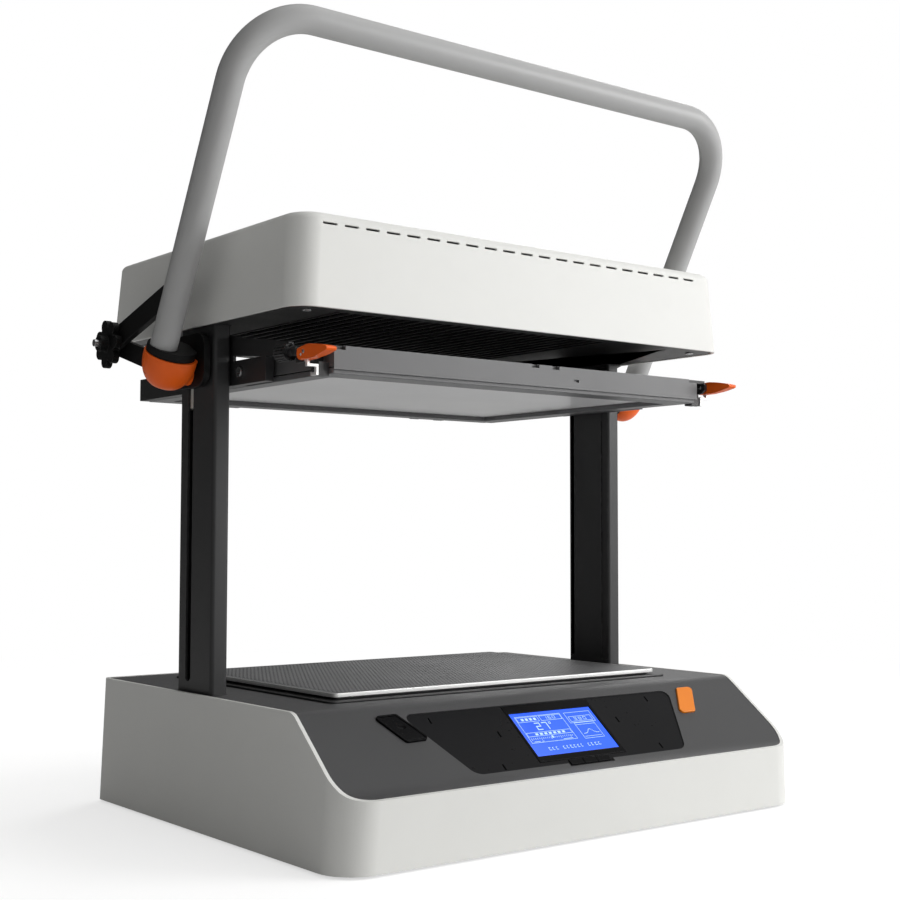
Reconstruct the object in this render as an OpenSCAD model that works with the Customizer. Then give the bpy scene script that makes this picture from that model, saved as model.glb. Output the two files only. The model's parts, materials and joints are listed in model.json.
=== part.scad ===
// Desktop vacuum forming machine: a base with console and perforated platen,
// two slotted columns, a fixed heater head, and a clamp frame that slides on
// the columns and is carried by a swinging U handle.
// Millimetres. Origin: centre of the footprint on the table. +X right seen
// from the front, front is -Y, +Z up.

/* [Base] */
// Width of the base at the table
base_w = 470; // [466:1:474]
// Depth of the base at the table
base_d = 379.5; // [379:0.5:381]
// Height of the deck above the table
deck_h = 104.6; // [104.2:0.1:105]
// Height of the white front lip
lip_h = 51; // [50:0.5:52]
// Radius of the two front corners seen from above
front_r = 28.5; // [24:0.5:32]
// Wall thickness of the moulded shells
wall = 3; // [2.5:0.1:3.2]
// Slope of the console face
slope = 38.5; // [38:0.1:39]

/* [Platen] */
// Width of the perforated platen
platen_w = 341.3; // [338:0.1:343]
// Height of the platen's top face
platen_h = 110.9; // [110.7:0.1:111.1]

/* [Columns] */
// Distance from the centre to a column's inner face
col_in = 207.1; // [206.9:0.1:207.3]
// Thickness of a column
col_t = 14.8; // [14.6:0.1:15]
// Front edge of the columns
col_y0 = 13.2; // [13:0.1:13.4]
// Rear edge of the columns
col_y1 = 68.1; // [67.9:0.1:68.3]

/* [Heater head] */
// Height of the heater head's underside
heat_z0 = 394.4; // [394.2:0.1:395]
// Height of the heater head's top
heat_z1 = 465.6; // [462:0.1:470]
// Number of vent slots along the front top edge
vents = 21; // [15:1:21]
// Distance between vent slots
vent_pitch = 19.1; // [19:0.1:19.3]
// Number of bars in the guard under the heating elements
guard_bars = 25; // [15:1:25]

/* [Clamp frame] */
// Outer width of the clamp frame
frame_w = 387; // [386:0.5:388]
// Underside of the lower frame in the raised position
frame_z = 347; // [346.8:0.1:347.2]
// Top of the upper frame in the raised position
frame_top = 368.2; // [366:0.1:369]

/* [Handle] */
// Diameter of the handle tube
tube_d = 21.6; // [21:0.1:22]
// Lean of the handle towards the front
lean = 28.3; // [28:0.1:28.6]
// Distance from the centre to the axis of a handle leg
leg_x = 257.2; // [257:0.1:257.4]
// Bend radius of the tube
bend_r = 56; // [45:1:65]
// Height of the handle pivot
piv_z = 357.6; // [357.4:0.1:357.8]
// Length of a leg from the pivot to the cross bar
leg_len = 289; // [280:1:300]

/* [Hidden] */
e = 0.01;
hw = base_w/2;            // half width at the table
hwt = hw - 6.5;           // half width at the deck
hd = base_d/2;
foot = 2;                 // gap under the shell, taken by the feet
col_out = col_in + col_t;
piv_y = (col_y0 + col_y1)/2;
travel = 240;             // stroke of the clamp frame
k2y = -153.8;             // reference line of the console face
k2z = 75;
sy = cos(slope);
sz = sin(slope);
white = [0.9, 0.9, 0.88];
dark = [0.27, 0.27, 0.28];
black = [0.08, 0.08, 0.09];
orange = [0.93, 0.42, 0.1];
steel = [0.72, 0.73, 0.75];

// outline of a rectangle with its own radius at the front (low y) and rear corners
function arc(cx, cy, r, a0, a1, n=8) = [for (i = [0:n]) let(a = a0 + (a1-a0)*i/n) [cx + r*cos(a), cy + r*sin(a)]];
function plan(hx, y0, y1, rf, rb, n=8) = concat(
  arc(-hx+rf, y0+rf, rf, 180, 270, n), arc(hx-rf, y0+rf, rf, 270, 360, n),
  arc(hx-rb, y1-rb, rb, 0, 90, n), arc(-hx+rb, y1-rb, rb, 90, 180, n));
module both() { children(); mirror([1,0,0]) children(); }
module slab(z, h, pts) { translate([0,0,z]) linear_extrude(h) polygon(pts); }
// box from two corners
module bx(a, b) { translate(a) cube([b[0]-a[0], b[1]-a[1], b[2]-a[2]]); }
// box with its four vertical edges rounded
module rbx(a, b, r) { translate([(a[0]+b[0])/2, 0, a[2]]) linear_extrude(b[2]-a[2]) polygon(plan((b[0]-a[0])/2, a[1], b[1], r, r, 6)); }
// shaft along X
module xcyl(x0, x1, y, z, r) { translate([x0,y,z]) rotate([0,90,0]) cylinder(h=x1-x0, r=r, $fn=48); }
// plate in the YZ plane from an outline of [y,z] points
module xplate(x0, x1, pts) { translate([x0,0,0]) rotate([90,0,90]) linear_extrude(x1-x0) polygon(pts); }
// axes lying in the console face: x across, y up the slope, z out of the face
module face() { translate([0, k2y, k2z]) rotate([slope,0,0]) children(); }
// axes of the leaning handle: z along a leg from the pivot
module hand() { translate([0, piv_y, piv_z]) rotate([lean,0,0]) children(); }

/* ---- base ---- */
// straight slope line at distance s up from the reference line
function sl(s, d=0) = [k2y + s*sy + d*sz, k2z + s*sz - d*sy];
// cross-section of everything that lies above the deck, slope and lip
function above(d) = let(
    rc = 30, t = rc*tan(slope/2), s0 = -(k2z - lip_h)/sz,
    q = sl(s0), c = [q[0] - t, lip_h + rc],
    rk = 16, sk = (deck_h - k2z)/sz, kp = sl(sk), tk = rk*tan(slope/2), ck = [kp[0] + tk, deck_h - rk])
  concat([[260, 300], [260, deck_h - d]],
    [for (i = [0:6]) let(a = 90 + slope*i/6) [ck[0] + (rk-d)*cos(a), ck[1] + (rk-d)*sin(a)]],
    [for (i = [0:8]) let(a = -90 + slope - slope*i/8) [c[0] + (rc+d)*cos(a), c[1] + (rc+d)*sin(a)]],
    [[-260, lip_h - d], [-260, 300]]);
module above_cut(d) { translate([-300,0,0]) rotate([90,0,90]) linear_extrude(600) polygon(above(d)); }
// drafted block of the base, shrunk by i on every side
module base_block(i=0, z0=foot, z1=130) {
  k = 6.5/102.6;
  hull() {
    slab(z0, e, plan(hw - i - k*(z0-foot), -hd + i - 0.0247*(z0-foot), hd - i + 0.051*(z0-foot), front_r-i, 8-min(i,5)));
    slab(z1, e, plan(hw - i - k*(z1-foot), -hd + i - 0.0247*(z1-foot), hd - i + 0.051*(z1-foot), front_r-i, 8-min(i,5)));
  }
}
module base_shell() color(white) difference() {
  base_block(0);
  base_block(wall, -20, 131);
  above_cut(0);
  // opening for the power inlet
  bx([-164,180,24],[-136,205,46]);
  // exhaust louvres
  for (i = [0:8]) bx([60+i*11,180,27],[65+i*11,205,59]);
}
module bottom_plate() color(black) difference() {
  base_block(wall+0.3, foot, foot+2-e-0.05);
  for (x = [-60:20:60]) bx([x-3,-60,0],[x+3,-10,6]);
}
module rubber_feet() color(black)
  for (x = [-190,190], y = [-150,150]) translate([x,y,0]) cylinder(h=foot, r=11, $fn=48);
module insert_2d(o) { polygon(insert_pts(o)); translate([-19.5-o,-32-o]) square([46+2*o,20]); }
module console_panel() color(dark) difference() {
  base_block(wall+0.2, 20, 128);
  above_cut(0.3);
  // hollow below the skin
  difference() { base_block(wall+2.6, 10, 132); above_cut(3.1); bx([-300,-300,0],[300,-178,lip_h-3]); }
  bx([-300,-300,0],[300,300,lip_h-12]);
  // clear of the power inlet
  bx([-172,150,0],[-128,260,62]);
  // columns pass through the deck
  both() bx([col_in-0.3,col_y0-0.3,90],[col_out+0.3,col_y1+0.3,130]);
  // air passage
  translate([0,33,90]) cylinder(h=30, r=16, $fn=64);
  // openings in the console face
  face() {
    translate([0,0,-6]) linear_extrude(12) insert_2d(0.25);
    translate([0,0,-6]) linear_extrude(12) polygon(key_pts(0.3));
    translate([0,0,-6]) mirror([1,0,0]) linear_extrude(12) polygon(key2_pts(0.25));
  }
}
// slanted outlines in the console face
function insert_pts(o) = concat(
  arc(-131.5, 29.8, 6+o, 95, 205, 5), arc(-101.5, -16.5, 12+o, 215, 268, 5),
  arc(101.5, -16.5, 12+o, 272, 325, 5), arc(131.5, 29.8, 6+o, -25, 85, 5));
function key_pts(o) = concat(
  arc(138.6, 11.6, 3+o, 160, 270, 4), arc(150.4, 11.6, 3+o, 270, 330, 4),
  arc(165.4, 33.6, 3+o, -30, 90, 4), arc(153.6, 33.6, 3+o, 90, 150, 4));
function key2_pts(o) = concat(
  arc(134.2, 11.8, 3+o, 160, 265, 4), arc(149, 11.3, 3+o, 275, 330, 4),
  arc(161, 33, 3+o, -30, 85, 4), arc(147, 33.4, 3+o, 95, 150, 4));
module console_insert() color(black) face() difference() {
  union() {
    translate([0,0,-3.2]) linear_extrude(2.2) insert_2d(0);
    // tongues that clip behind the panel
    translate([-110,33,-5.1]) cube([220,7,2]);
    for (x = [-85,30]) translate([x,-34,-5.1]) cube([55,7,2]);
  }
  translate([-45.3,-24.3,-6]) cube([90.6,59.6,8]);
  translate([-17.6,-30.4,-6]) cube([42.2,5.6,8]);
  // locating slits
  for (p = slits) translate([p[0]-0.7,p[1]-3,-6]) cube([1.4,6,8]);
}
slits = [[-118,28],[-64,8],[-80,-24],[62,10],[110,29],[86,-22]];
module display_bezel() color(black) face() difference() {
  translate([-45,-24,-4]) cube([90,59,3.3]);
  translate([-42.7,-18.2,-5]) cube([85.4,45.4,6]);
}
module display_screen() color([0.15,0.4,0.95]) face() translate([-42.5,-18,-4]) cube([85,45,2.6]);
module console_board() color([0.1,0.35,0.15]) face() {
  translate([-180,-29,-9.4]) cube([360,64,1.6]);
  // spacers that carry the display
  for (x = [-44.6,41.6], y = [-22,28]) translate([x,y,-7.9]) cube([3,3,3.9]);
  for (x = [-20,18]) translate([x,0,-7.9]) cube([2,2,3.9]);
  // posts on the back of the console panel
  for (x = [-174,170], y = [-24,-14]) translate([x,y,-7.9]) cube([4,4,4.8]);
}
module menu_key(x) color(black) face() {
  translate([x,-30.2,-3.2]) cube([13.4,5.2,3]);
  translate([x+1,-29.6,-5.2]) cube([11.4,4,2]);
}
module menu_key_left() menu_key(-17.2);
module menu_key_middle() menu_key(-3.2);
module menu_key_right() menu_key(10.8);
module power_key() color(orange) face() {
  translate([0,0,-3.4]) linear_extrude(4.6) polygon(key_pts(0));
  translate([147,18,-6]) cube([9,9,2.7]);
}
module vacuum_key_bezel() color(black) face() mirror([1,0,0]) difference() {
  union() {
    translate([0,0,-3.6]) linear_extrude(5) polygon(key2_pts(0));
    translate([0,0,-5.1]) linear_extrude(2) polygon(key2_pts(1.6));
  }
  translate([0,0,-6]) linear_extrude(10) polygon(key2_pts(-1.5));
}
module vacuum_key() color(black) face() mirror([1,0,0]) {
  difference() {
    translate([0,0,-3.4]) linear_extrude(4.4) polygon(key2_pts(-1.75));
    translate([147,25,12.2]) sphere(r=12, $fn=48);
  }
  translate([143,17,-6]) cube([9,9,2.7]);
}

/* ---- platen ---- */
pl_y0 = -82.3;
pl_y1 = 147.5;
module platen_tray() color(black) difference() {
  union() {
    rbx([-178,pl_y0-7,deck_h-0.3],[178,pl_y1+12,105.9],6);
    rbx([-platen_w/2+4,pl_y0+4,105],[platen_w/2-4,pl_y1-4,107.6],3);
  }
  rbx([-platen_w/2+9,pl_y0+9,106.2],[platen_w/2-9,pl_y1-9,120],3);
  translate([0,33,90]) cylinder(h=30, r=15, $fn=64);
}
module platen() color([0.5,0.51,0.52]) difference() {
  rbx([-platen_w/2+1.8,pl_y0+1.8,107.6],[platen_w/2-1.8,pl_y1-1.8,platen_h],2.2);
  for (i = [-10:10], j = [-6:6]) translate([i*15.6, 32.6+j*16, 100]) cylinder(h=20, r=0.9, $fn=16);
}
module platen_rim() color(steel) difference() {
  rbx([-platen_w/2,pl_y0,107.6],[platen_w/2,pl_y1,platen_h-0.1],4);
  rbx([-platen_w/2+1.8,pl_y0+1.8,100],[platen_w/2-1.8,pl_y1-1.8,120],2.2);
}
module air_duct() color(black) difference() {
  union() {
    translate([0,33,74]) cylinder(h=deck_h-0.3-74, r=15, $fn=64);
    translate([0,33,74]) cylinder(h=6, r=22, $fn=64);
  }
  translate([0,33,60]) cylinder(h=60, r=12.5, $fn=64);
}
module vacuum_motor() color([0.2,0.2,0.22]) translate([0,33,0]) difference() {
  union() {
    translate([0,0,28]) cylinder(h=46, r=52, $fn=96);
    translate([0,0,4]) cylinder(h=24, r=34, $fn=96);
    for (a = [45:90:315]) rotate(a) translate([44,-8,4]) cube([12,16,26]);
    // exhaust horn
    bx([20,30,34],[48,150,66]);
  }
  translate([0,0,31]) cylinder(h=40, r=48, $fn=96);
  translate([0,0,60]) cylinder(h=20, r=12.5, $fn=64);
  translate([0,0,14]) cylinder(h=20, r=3.05, $fn=32);
  bx([23,25,37],[45,152,63]);
}
module impeller() color(steel) translate([0,33,0]) {
  difference() {
    union() {
      translate([0,0,34]) cylinder(h=2, r=44, $fn=96);
      translate([0,0,36]) cylinder(h=14, r=9, $fn=48);
      for (i = [0:8]) rotate(i*40) translate([8,-1,36]) cube([34,2,22]);
    }
  }
  // shaft into the motor
  translate([0,0,16]) cylinder(h=19, r=3, $fn=32);
}
module control_board() color([0.1,0.35,0.15]) {
  bx([-170,-120,12],[-60,-30,13.6]);
  for (x = [-166,-68], y = [-116,-38]) translate([x,y,4]) cylinder(h=8, r=3, $fn=24);
  bx([-150,-100,13.6],[-120,-80,18]);
  bx([-100,-70,13.6],[-80,-50,30]);
}
module power_supply() color(steel) difference() {
  bx([-180,40,4],[-80,130,44]);
  for (i = [0:6]) bx([-170+i*13,60,42],[-165+i*13,110,50]);
}
module power_inlet() color(black) {
  difference() {
    union() { bx([-163.8,170,24.2],[-136.2,194,45.8]); bx([-168,192.3,20],[-132,194.4,50]); }
    bx([-160,176,28],[-140,200,42]);
  }
  for (x = [-157,-150,-143]) bx([x-1,172,34],[x+1,190,38]);
}

/* ---- columns ---- */
module column() color(black) {
  slot_y = 51.6;
  difference() {
    translate([(col_in+col_out)/2,0,foot+2]) linear_extrude(436-foot-2) polygon(plan(col_t/2, col_y0, col_y1, 3, 1.5, 5));
    // hollow
    bx([col_in+2,col_y0+2,0],[col_out-2,col_y1-2,500]);
    // outer slot with round ends
    bx([col_out-3,slot_y-4.3,116.6],[col_out+3,slot_y+4.3,384]);
    xcyl(col_out-3,col_out+3,slot_y,116.6,4.3);
    xcyl(col_out-3,col_out+3,slot_y,384,4.3);
    // inner slot at the rear
    bx([col_in-3,61.4,112.3],[col_in+3,65.4,388]);
    // inner groove at the front
    bx([col_in-1,14.9,110],[col_in+1,23,392]);
  }
}
module column_right() column();
module column_left() mirror([1,0,0]) column();
module column_brackets() color(steel) both() {
  bx([col_in-26,col_y0,foot+2],[col_in-0.0,col_y1,foot+5]);
  bx([col_in-3,col_y0,foot+5],[col_in,col_y1,60]);
}
module column_bumpers() color(black) both() bx([col_in+2,col_y0+2,60],[col_out-2,col_y1-2,90.5]);

/* ---- heater head ---- */
hz = heat_z1 - heat_z0;
module heat_block(i=0, z0=0, z1=0, r=6) {
  hull() {
    slab(heat_z0 - z0, e, plan(227.9-i, -115.8+i, 187.9-i, 20-i, 6-i));
    slab(heat_z1 - i - r - z1, e, plan(223.3-i, -112.4+i, 184.5-i, 20-i, 6-i));
    for (a = [30:30:90]) slab(heat_z1 - i - r - z1 + r*sin(a), e, plan(223.3-i-r*(1-cos(a)), -112.4+i+r*(1-cos(a)), 184.5-i-r*(1-cos(a)), 20-i-r*(1-cos(a))/2, 6-i-r*(1-cos(a))/3));
  }
}
module heater_shell() color(white) {
  heater_skin();
  // bosses that take the screws of the underside plate
  for (p = screw_at) translate([p[0],p[1],heat_z0+2.6]) cylinder(h=heat_z1-heat_z0-4.6, r=4.2, $fn=32);
}
screw_at = [[-205,-95],[205,-95],[-205,168],[205,168],[0,174]];
module heater_skin() difference() {
  heat_block();
  heat_block(2.5, 5, 0, 4);
  bx([-300,-300,heat_z0-20],[300,300,heat_z0]);
  for (i = [0:vents-1]) let(x = (i-(vents-1)/2)*vent_pitch - 5.4) bx([x-6.2,-125,456.5],[x+6.2,-100,458.1]);
  // rear louvres
  for (i = [0:12]) bx([-92+i*14,170,415],[-84+i*14,200,440]);
}
guard_x0 = -181;
guard_x1 = 95;
module heater_plate() color(dark) difference() {
  slab(heat_z0+0.6, 2, plan(224.2, -112.2, 184.3, 17, 3.2));
  bx([guard_x0,-98,390],[guard_x1,160,400]);
  both() bx([col_in-0.3,col_y0-0.3,390],[col_out+0.3,col_y1+0.3,400]);
  // shadow gap beside the terminal cover
  bx([170,-96,390],[173,160,400]);
}
module heater_guard() color([0.13,0.13,0.14]) {
  for (i = [0:guard_bars-1]) let(x = guard_x0 + 6 + i*(guard_x1-guard_x0-12)/(guard_bars-1)) bx([x-1.2,-97,heat_z0+1],[x+1.2,159,heat_z0+9]);
  for (y = [-98,24,152]) bx([guard_x0-6,y,heat_z0+9],[guard_x1+6,y+8,heat_z0+11]);
  for (x = [guard_x0-6,guard_x1+2]) bx([x,-98,heat_z0+2.6],[x+4,160,heat_z0+11]);
}
module heating_elements() color([0.85,0.83,0.78])
  for (x = [-148:70:62], y = [-80:62:107]) translate([x,0,0]) {
    rbx([-30,y,heat_z0+24],[30,y+54,heat_z0+32],5);
    translate([0,y+27,heat_z0+31]) cylinder(h=19, r=4, $fn=32);
  }
module heater_reflector() color(steel) difference() {
  bx([guard_x0-6,-104,heat_z0+11],[guard_x1+6,166,heat_z0+48]);
  bx([guard_x0-4.5,-102.5,heat_z0+10],[guard_x1+4.5,164.5,heat_z0+46.5]);
  for (x = [-148:70:62], y = [-80:62:107]) translate([x,y+27,heat_z0+40]) cylinder(h=20, r=4.1, $fn=32);
}
module heater_brackets() color(steel) both() {
  bx([col_in-16,col_y0,heat_z0+2.6],[col_in,col_y1,heat_z0+5.6]);
  bx([col_in-3,col_y0,heat_z0+5.6],[col_in,col_y1,434]);
}
module heater_screws() color(steel) for (p = screw_at) translate([p[0],p[1],heat_z0-0.6]) cylinder(h=1.2, r=3.5, $fn=32);

/* ---- carriage ---- */
module guide_block() color([0.85,0.85,0.82]) {
  bx([col_in+2.3,col_y0+2.3,331],[col_out-2.3,col_y1-2.3,386]);
  // key through the outer slot
  bx([col_out-2.4,51.6-4,358],[224,51.6+4,380]);
  // web through the inner slot
  bx([204.6,61.7,356],[col_in+2.4,65.1,384]);
}
module guide_blocks() both() guide_block();
module carriage_plates() color(black) both() difference() {
  translate([224,0,0]) rotate([90,0,90]) linear_extrude(5.5) polygon(plan2(16, 66, 345.8, 389, 12));
  xcyl(220,235,piv_y,piv_z,6);
}
// rounded outline from its limits in y and z
function plan2(y0, y1, z0, z1, r) = concat(
  arc(y0+r, z0+r, r, 180, 270, 6), arc(y1-r, z0+r, r, 270, 360, 6),
  arc(y1-r, z1-r, r, 0, 90, 6), arc(y0+r, z1-r, r, 90, 180, 6));
module pivot_pins() color(steel) both() { xcyl(224,244.6,piv_y,piv_z,6); }
module carriage_arms() color(black) both() difference() {
  union() {
    // plate beside the column, from the web to the frame side
    xplate(202, 204.6, plan2(14, 78, 347.3, 388, 5));
    bx([193.5,8,347.3],[202,72,351.2]);
    // side rail behind the column
    bx([194,16,347.3],[202.3,184,366.2]);
    // clamp block in front of the column
    bx([197.5,-36,347.3],[204.6,16,366.8]);
    // arm that runs forward to the front spacer
    xplate(200.2, 204.6, [[30,372.4],[30,387.2],[20,387.4],[-22,381.2],[-69.4,374],[-69.4,363.4],[-22,367.6],[16,371.6]]);
  }
  xcyl(190,210,2.5,357.3,2.6);
}
module carriage_bolts() color(steel) both() {
  xcyl(204.7,206.8,2.5,357.3,4);
  xcyl(198,204.7,2.5,357.3,2.5);
}

/* ---- clamp frame ---- */
fr_y0 = -113.8;
fr_y1 = 185.3;
sh_z = frame_z + 4.4;      // underside of the sheet
op_x = 178.8;
op_y0 = -88.8;
op_y1 = 167.5;
fw = frame_w/2;
module lower_frame() color([0.3,0.3,0.31]) difference() {
  rbx([-fw,fr_y0+1.8,frame_z],[fw,fr_y1,sh_z],2);
  rbx([-op_x,op_y0,frame_z-5],[op_x,op_y1,sh_z+5],3);
}
module plastic_sheet() color([0.86,0.87,0.87]) bx([-190,-110,sh_z],[190,181,sh_z+0.8]);
module upper_frame() color([0.42,0.42,0.43]) difference() {
  union() {
    rbx([-fw,fr_y0+2,sh_z+0.8],[fw,fr_y1-2,frame_top],2);
    bx([-fw,fr_y0-0.6,sh_z+1.2],[fw,fr_y0+14,frame_top-0.4]);
    // lip that hangs over the front of the lower half
    bx([-193.4,fr_y0-0.6,frame_z+3.2],[193.4,fr_y0+1.4,sh_z+2]);
  }
  // pressed channel, open below
  difference() {
    rbx([-fw+2.5,fr_y0+5,sh_z],[fw-2.5,fr_y1-4.5,frame_top-4],2);
    rbx([-op_x-2.5,op_y0-2.5,sh_z-1],[op_x+2.5,op_y1+2.5,frame_top],3);
  }
  rbx([-op_x,op_y0,sh_z-5],[op_x,op_y1,frame_top+5],3);
  // seats of the latch brackets
  both() bx([183.4,-120,frame_top-3.4],[200,-98.6,frame_top+2]);
  // notches where the sheet stop sits in the front bar
  bx([-2,fr_y0-2,frame_top-3.2],[6,fr_y0+4,frame_top+2]);
  bx([20,fr_y0-2,frame_top-3.2],[28,fr_y0+4,frame_top+2]);
  // sight slot
  bx([44,fr_y0-2,356],[50,fr_y0+1.2,358.2]);
}
hg_y = fr_y1 + 5.7;
hg_z = sh_z + 0.4;
module frame_hinges() color(black) both() difference() {
  union() {
    // lower leaves
    for (x = [100,130]) { bx([x,fr_y1,frame_z],[x+10,hg_y,frame_z+2.2]); xcyl(x,x+10,hg_y,hg_z,4.4); }
    // upper leaf
    bx([110.4,fr_y1-2,hg_z+2.4],[129.6,hg_y,hg_z+4.4]);
    xcyl(110.4,129.6,hg_y,hg_z,4.4);
  }
  xcyl(90,150,hg_y,hg_z,2.1);
}
module hinge_pins() color(steel) both() xcyl(98.5,141.5,hg_y,hg_z,2);

/* ---- latches at the front corners ---- */
la_y = -108;
la_z = 362;
// hook pivot on the lever and the pin that the hook catches
q_y = -104.6;
q_z = 359.9;
c_y = -104.5;
c_z = 349.5;
module latch_catches() color(black) both() {
  bx([fw,-108,345.4],[202.6,-99.5,355.6]);
  xcyl(202.6,206.4,c_y,c_z,1.5);
}
module latch_brackets() color(black) both() difference() {
  union() {
    bx([fw,-99.6,357.2],[207.4,-84,frame_top]);
    xplate(204.6, 207.4, [[-101,356.2],[-84,356.2],[-84,frame_top],[-106,367.8],[-113.4,364.4],[-113.4,359.6],[-109,356.4]]);
    // stub that carries the thumb nut
    translate([212,-79.2,364]) rotate([90,0,0]) cylinder(h=10, r=2.9, $fn=32);
    bx([204.6,-93,361],[213.5,-86,367]);
    // tongue over the end of the front bar
    bx([184,-111,frame_top-3],[207.4,-99,frame_top-0.3]);
  }
  xcyl(200,225,la_y,la_z,1.55);
}
module latch_spacers() color(black) both() translate([212,-70,364]) rotate([90,0,0]) difference() {
  union() {
    cylinder(h=14, r=6, $fn=48);
    for (i = [0:17]) rotate(i*20) translate([5.6,-0.5,0]) cube([1,1,14]);
  }
  translate([0,0,9]) cylinder(h=10, r=3, $fn=32);
}
// side view of the lever: round root, hump, tapered and slightly upturned tip
lever_pts = concat(arc(la_y+3.2, la_z-0.8, 5.2, 40, -110, 8),
  [[-112,356.4],[-118,356.5],[-126,357.5],[-134,359.1],[-138.6,360.1],[-139.8,361.5],[-138.8,362.9],[-134,364.2],[-126,365.6],[-118,366.6],[-112,366.6]]);
module latch_lever() color(orange) difference() {
  translate([208,0,0]) rotate([90,0,90]) linear_extrude(8.6) polygon(lever_pts);
  xcyl(205,220,q_y,q_z,1.25);
  xcyl(205,220,la_y,la_z,1.55);
  // slot for the hook
  bx([210.9,-110.6,340],[213.7,-90,362.9]);
}
module latch_lever_right() latch_lever();
module latch_lever_left() mirror([1,0,0]) latch_lever();
module latch_pins() color(steel) both() xcyl(203.6,216.6,la_y,la_z,1.5);
// flat steel hook with its own stub in the lever
module latch_hook() color(steel) {
  // eye and arm in the slot of the lever
  xplate(211.3,213.3,[[q_y+1.6,q_z-1.6],[q_y+2.1,q_z+0.2],[q_y+1.2,q_z+1.7],[q_y-0.6,q_z+1.9],[q_y-2,q_z+0.2],
    [c_y-4.8,c_z+5],[c_y-4.8,c_z+1.9],[c_y-2,c_z+1.9],[c_y-2,c_z+4.6]]);
  // step towards the frame
  bx([203.6,c_y-4.8,c_z+1.9],[213.3,c_y-2,c_z+3.9]);
  // end that reaches under the pin
  xplate(203.6,205.6,[[c_y-4.8,c_z+3.9],[c_y-4.8,c_z-4.2],[c_y+3,c_z-4.2],[c_y+3.3,c_z-1.3],[c_y+2.1,c_z-1.3],[c_y+1.9,c_z-1.95],[c_y-1.6,c_z-1.95],[c_y-2,c_z-1.4],[c_y-2,c_z+3.9]]);
  xcyl(209,216.2,q_y,q_z,1.2);
}
module latch_hook_right() latch_hook();
module latch_hook_left() mirror([1,0,0]) latch_hook();

/* ---- handle ---- */
cov_x = leg_x - 8;
module tube_bore(c=0) translate([leg_x,0,-2]) cylinder(h=300, r=tube_d/2+c, $fn=96);
module tube_path(r, c=0) {
  both() {
    translate([leg_x,0,-2-c]) cylinder(h=leg_len-bend_r+2+c, r=r, $fn=72);
    translate([leg_x-bend_r,0,leg_len-bend_r]) rotate([90,0,0]) rotate_extrude(angle=90, $fn=96) translate([bend_r,0]) circle(r=r, $fn=72);
  }
  translate([-(leg_x-bend_r),0,leg_len]) rotate([0,90,0]) cylinder(h=2*(leg_x-bend_r), r=r, $fn=72);
}
module handle_tube() color([0.62,0.63,0.64]) hand() difference() {
  tube_path(tube_d/2);
  tube_path(tube_d/2-2, 1);
}
// rounded cup, c larger all round
module cover_cup(c=0) translate([cov_x,0,0]) rotate_extrude($fn=96)
  polygon(concat([[0,15+c],[21.2+c,15+c]], [for (i=[0:2:14]) let(t=i/15.6) [(21.2+c)*pow(1-pow(t,2.3),0.44), 12-(26+c)*t]], [[0,12-(26+c)*14/15.6]]));
module handle_covers() color(orange) both() difference() {
  union() {
    hand() intersection() {
      cover_cup();
      translate([230.6,-40,-40]) cube([60,80,80]);
    }
    xcyl(230.1,246,piv_y,piv_z,9.7);
  }
  hand() tube_bore(0.05);
  xcyl(229,245,piv_y,piv_z,6.05);
}
module handle_collars() color(black) both() hand() difference() {
  intersection() {
    translate([cov_x+0.6,0,15]) cylinder(h=6.5, r=19.6, $fn=96);
    translate([231.6,-30,0]) cube([60,60,40]);
  }
  tube_bore(0.05);
}
// flat strap in the YZ plane with round ends
module strap(x0, x1, a, b, r) {
  L = norm(b-a);
  translate([x0,a[0],a[1]]) rotate([atan2(b[1]-a[1], b[0]-a[0]),0,0]) {
    translate([0,0,-r]) cube([x1-x0, L, 2*r]);
    rotate([0,90,0]) cylinder(h=x1-x0, r=r, $fn=64);
    translate([0,L,0]) rotate([0,90,0]) cylinder(h=x1-x0, r=r, $fn=64);
  }
}
kn = [118, 386.4];          // axis of the star knob
module brace_upper() color(black) both() difference() {
  strap(254.6,259.8,[118,389.5],[26,414.8],9);
  hand() { tube_bore(0); translate([200,-60,-50]) cube([100,62,300]); }
  xcyl(240,280,kn[0],kn[1],3.1);
}
module brace_lower() color(black) both() difference() {
  strap(249.2,254.5,[118,384.6],[60,368],7.6);
  hand() { cover_cup(0.3); translate([200,-60,-50]) cube([100,66,300]); translate([cov_x,0,15]) cylinder(h=20, r=21.2, $fn=96); }
  xcyl(240,280,kn[0],kn[1],3.1);
}
module brace_bolts() color(steel) both() {
  xcyl(249.2,276.4,kn[0],kn[1],3);
  translate([245.2,kn[0],kn[1]]) rotate([0,90,0]) cylinder(h=4, r=5.6, $fn=6);
}
module star_knob() color(black) translate([260.2,kn[0],kn[1]]) rotate([0,90,0]) difference() {
  union() {
    linear_extrude(5.6) {
      circle(r=14.2, $fn=64);
      for (i = [0:6]) rotate(i*360/7 + 12) translate([14.8,0]) circle(r=5.4, $fn=40);
    }
    cylinder(h=12.4, r=6.6, $fn=48);
  }
  translate([0,0,-1]) cylinder(h=20, r=3.06, $fn=48);
}
module star_knob_right() star_knob();
module star_knob_left() mirror([1,0,0]) star_knob();

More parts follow.
